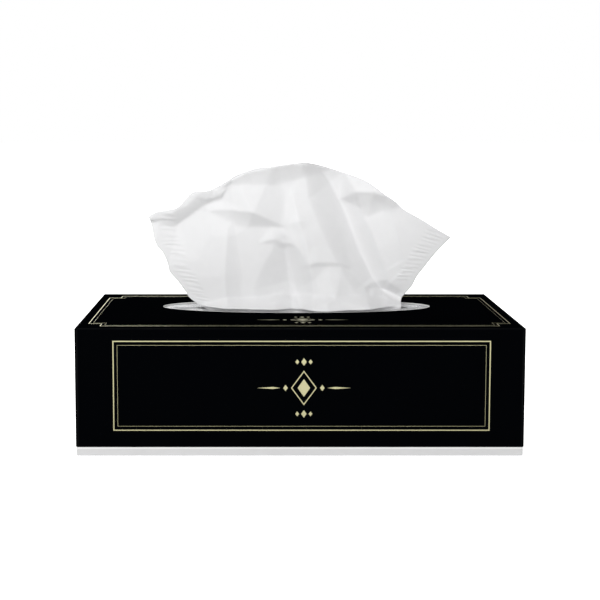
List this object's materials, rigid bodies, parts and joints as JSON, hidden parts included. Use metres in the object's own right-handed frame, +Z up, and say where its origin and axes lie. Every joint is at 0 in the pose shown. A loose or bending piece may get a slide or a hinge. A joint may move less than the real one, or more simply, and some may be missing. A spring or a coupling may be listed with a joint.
{
  "type": "tissue box",
  "caption": "Flat paperboard carton of interfolded facial tissues, with an oval film window in its top and one tissue drawn up through the slit.",
  "frame": {"origin": "middle of the base, on the surface that the carton stands on", "axes": "+X along the carton to the right as seen from its front, +Y to the back, +Z up"},
  "size_m": [0.23, 0.115, 0.148],
  "materials": {
    "printed_board": "satin black print with thin pale gold lines, bare pale board at the foot",
    "gold_foil": "satin pale gold line print",
    "clear_film": "clear, slightly milky film",
    "tissue": "matt, soft, two-ply"
  },
  "bodies": {
    "root": {"carton": "printed_board", "film_window": "clear_film", "tissue_pack": "tissue", "drawn_sheet": "tissue"}
  },
  "joints": []
}
